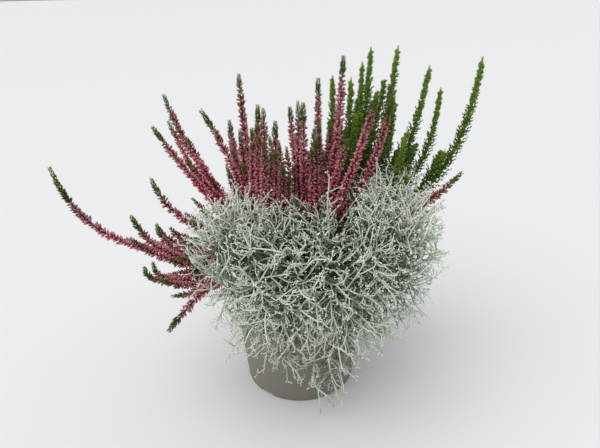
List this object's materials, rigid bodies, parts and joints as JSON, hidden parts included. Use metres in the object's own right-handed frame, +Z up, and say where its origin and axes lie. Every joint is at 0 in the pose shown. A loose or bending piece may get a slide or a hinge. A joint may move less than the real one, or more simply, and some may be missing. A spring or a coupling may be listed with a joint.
{
  "type": "potted heather",
  "caption": "Potted trio of upright pink bud heather, green foliage heather and a wiry silver cushion bush spilling over the rim of a plain round nursery pot.",
  "frame": {"origin": "middle of the underside of the pot's flat centre pad, level with the foot ring that it stands on", "axes": "+Z up along the pot's axis, +Y to the back, +X to the right seen from the front; the silver bush hangs over the front"},
  "size_m": [0.3235, 0.229, 0.286],
  "materials": {
    "pot_plastic": "satin",
    "potting_soil": "matte",
    "pink_buds": "matte",
    "young_tips": "matte",
    "green_foliage": "matte",
    "silver_twigs": "matte"
  },
  "bodies": {
    "root": {"pot": "pot_plastic", "soil": "potting_soil", "pink_spray_01": "pink_buds", "pink_spray_02": "pink_buds", "pink_spray_03": "pink_buds", "pink_spray_04": "pink_buds", "pink_spray_05": "pink_buds", "pink_spray_06": "pink_buds", "pink_spray_07": "pink_buds", "pink_spray_08": "pink_buds", "pink_spray_09": "pink_buds", "pink_spray_10": "pink_buds", "pink_spray_11": "pink_buds", "pink_spray_12": "pink_buds", "pink_spray_13": "pink_buds", "pink_spray_14": "pink_buds", "pink_spray_15": "pink_buds", "pink_spray_16": "pink_buds", "pink_spray_17": "pink_buds", "pink_spray_18": "pink_buds", "pink_spray_19": "pink_buds", "pink_spray_20": "pink_buds", "pink_spray_21": "pink_buds", "pink_spray_22": "pink_buds", "pink_spray_23": "pink_buds", "pink_tip_01": "young_tips", "pink_tip_02": "young_tips", "pink_tip_04": "young_tips", "pink_tip_05": "young_tips", "pink_tip_06": "young_tips", "pink_tip_07": "young_tips", "pink_tip_08": "young_tips", "pink_tip_10": "young_tips", "pink_tip_11": "young_tips", "pink_tip_12": "young_tips", "pink_tip_13": "young_tips", "pink_tip_14": "young_tips", "pink_tip_15": "young_tips", "pink_tip_16": "young_tips", "pink_tip_17": "young_tips", "pink_tip_19": "young_tips", "pink_tip_20": "young_tips", "green_spray_01": "green_foliage", "green_spray_02": "green_foliage", "green_spray_03": "green_foliage", "green_spray_04": "green_foliage", "green_spray_05": "green_foliage", "green_spray_06": "green_foliage", "green_spray_07": "green_foliage", "green_spray_08": "green_foliage", "green_spray_09": "green_foliage", "green_spray_10": "green_foliage", "green_spray_11": "green_foliage", "green_spray_12": "green_foliage", "silver_branch_1": "silver_twigs", "silver_branch_2": "silver_twigs", "silver_branch_3": "silver_twigs", "silver_branch_4": "silver_twigs", "silver_branch_5": "silver_twigs", "silver_branch_6": "silver_twigs"}
  },
  "joints": []
}
